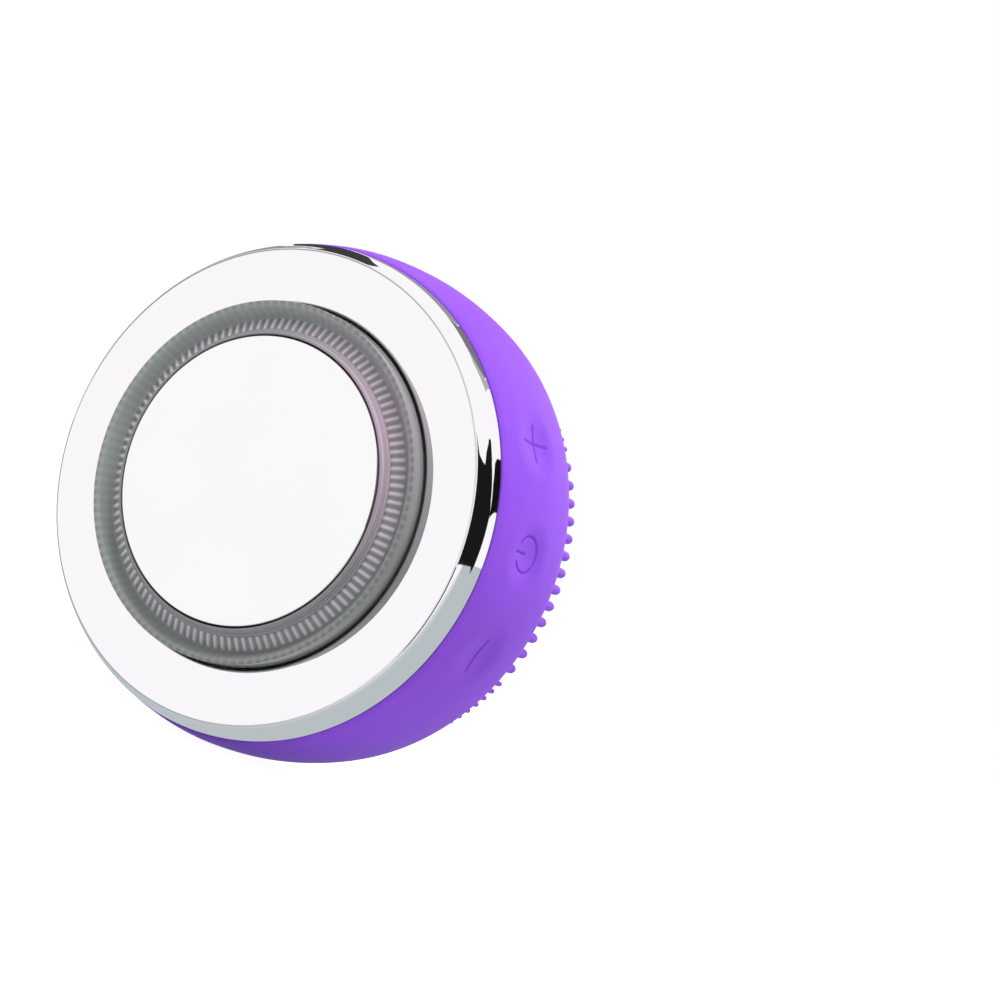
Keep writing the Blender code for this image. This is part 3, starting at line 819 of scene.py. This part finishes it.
def button(name):
    """A patch of the skin, dished, with its sign, and the stem that stands behind it."""
    angle = math.radians(button_angles[name])
    away = Vector((math.cos(angle), 0.0, math.sin(angle)))
    bm = whole_skin()
    rest = [f for f in bm.faces if not over_button(f, name)]
    bmesh.ops.delete(bm, geom=rest, context="FACES")
    bmesh.ops.subdivide_edges(bm, edges=bm.edges, cuts=5, use_grid_fill=True)
    painted_dish_shade = bm.verts.layers.float.new("painted_dish_shade")
    for v in [v for v in bm.verts if not v.is_boundary]:
        depth = (v.co.y - edge_plane) / MM
        turn = math.atan2(v.co.z, v.co.x)
        along, across = body_radius * (turn - angle), depth - button_height
        dish = soft_step(1.0 - math.hypot(along, across) / dish_radius)
        sign = soft_step(1.0 - sign_distance(name, along, across) / sign_half_width)
        radius = skin_radius(depth) - dish_depth * dish - sign_depth * sign
        # Painted shade: darker in the signs and on the dish's slope away from the bezel.
        far_side = 4.0 * dish * (1.0 - dish) * soft_step(across / 5.0)
        v[painted_dish_shade] = max(sign_painted_shade * sign, far_slope_painted_shade * far_side)
        v.co.x, v.co.z = radius * MM * math.cos(turn), radius * MM * math.sin(turn)
    bmesh.ops.solidify(bm, geom=bm.faces, thickness=pad_thickness * MM)
    heart = Vector((0.0, edge_plane + button_height * MM, 0.0))
    middle = heart + away * (stem_start + stem_end) / 2 * MM
    place = Matrix.Translation(middle) @ away.to_track_quat("Z", "Y").to_matrix().to_4x4()
    bmesh.ops.create_cone(bm, cap_ends=True, segments=32, radius1=stem_radius * MM * 0.9,
                          radius2=stem_radius * MM, depth=(stem_start - stem_end) * MM,
                          matrix=place)
    piece = show(f"{name}_dish", bm, violet, None, 50.0)
    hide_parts(f"{name}_button")
    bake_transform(piece)


for button_name in button_angles:
    button(button_name)

# --- bristles ---------------------------------------------------------------------------------
# Silicone bristles in close rings, six more in each ring, with three lens-shaped groups of thick
# ones at the rim. Each has a flared root, a slight taper and a rounded tip, in the body's colour.

ring_pitch = 1.652
ring_total = 22
fine_size, thick_size = 0.50, 0.93
fine_to_thick = 2.05
group_axes = (-5.7, 114.3, 234.3)
group_pitch = 2.8
group_rows = 6
lens_centre, lens_radius = 68.3, 40.6
tip_taper = 0.86


def tip_height(radius):
    """Depth of the bristles' tips, which follow a dome too."""
    return 39.5 - 2.4 * (radius / ground_radius) ** 2


def one_bristle(radius, length, sides):
    """A bristle rooted at the origin, with its tip along the brush's axis."""
    end = tip_taper * radius
    outline = [(1.35, -0.25), (1.12, 0.35), (1.0, 0.9), (tip_taper, length - end)]
    tip = [(tip_taper * math.cos(a), length - end * (1 - math.sin(a)))
           for a in (math.radians(38), math.radians(68))]
    bm = bmesh.new()
    points = [(radius * r, h) for r, h in outline + tip] + [(0.0, length)]
    verts = [bm.verts.new((r * MM, h * MM, 0.0)) for r, h in points]
    edges = [bm.edges.new(pair) for pair in zip(verts, verts[1:])]
    bmesh.ops.spin(bm, geom=verts + edges, cent=(0, 0, 0), axis=(0, 1, 0), dvec=(0, 0, 0),
                   angle=2 * math.pi, steps=sides, use_merge=True, use_duplicate=False)
    bmesh.ops.remove_doubles(bm, verts=bm.verts, dist=weld_distance)
    bmesh.ops.holes_fill(bm, edges=[e for e in bm.edges if e.is_boundary], sides=0)
    bmesh.ops.recalc_face_normals(bm, faces=bm.faces)
    mesh = bpy.data.meshes.new("bristle")
    bm.to_mesh(mesh)
    bm.free()
    return mesh


def fine_places():
    """Rings about the middle, left open wherever a thick bristle stands."""
    thick = group_places()
    places = [(0.0, 0.0)]
    for ring in range(1, ring_total + 1):
        for i in range(6 * ring):
            a = 2 * math.pi * i / (6 * ring) + math.radians(-group_axes[0])
            places.append((ring * ring_pitch * math.cos(a), ring * ring_pitch * math.sin(a)))
    return [p for p in places if min(math.dist(p, q) for q in thick) > fine_to_thick]


def group_places():
    """Rows along each group's axis, from the rim in to the arc on its inner side."""
    outermost = ground_radius - thick_size - 0.1
    places = []
    for axis in group_axes:
        a = math.radians(-axis)
        for row in range(-group_rows, group_rows + 1):
            across = row * group_pitch
            along = math.sqrt(outermost ** 2 - across ** 2)
            while math.hypot(lens_centre - along, across) < lens_radius - thick_size / 2:
                places.append((along * math.cos(a) - across * math.sin(a),
                               along * math.sin(a) + across * math.cos(a)))
                along -= group_pitch
    return places


def bristle_field(name, places, size, sides):
    """Every bristle is the same one, moved to its place and drawn out to its length."""
    bm = bmesh.new()
    usual = tip_height(0.0) - ground_height(0.0)
    template = one_bristle(size, usual, sides)
    for x, z in places:
        radius = math.hypot(x, z)
        low, high = ground_height(radius), tip_height(radius)
        one = template.copy()
        one.transform(Matrix.Translation((x * MM, edge_plane + low * MM, z * MM))
                      @ Matrix.Diagonal((1.0, (high - low) / usual, 1.0, 1.0)))
        bm.from_mesh(one)
        bpy.data.meshes.remove(one)
    bpy.data.meshes.remove(template)
    piece = show(name, bm, violet, "body", 60.0)
    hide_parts("brush_face")


bristle_field("fine_bristles", fine_places(), fine_size, 8)
bristle_field("thick_bristles", group_places(), thick_size, 12)
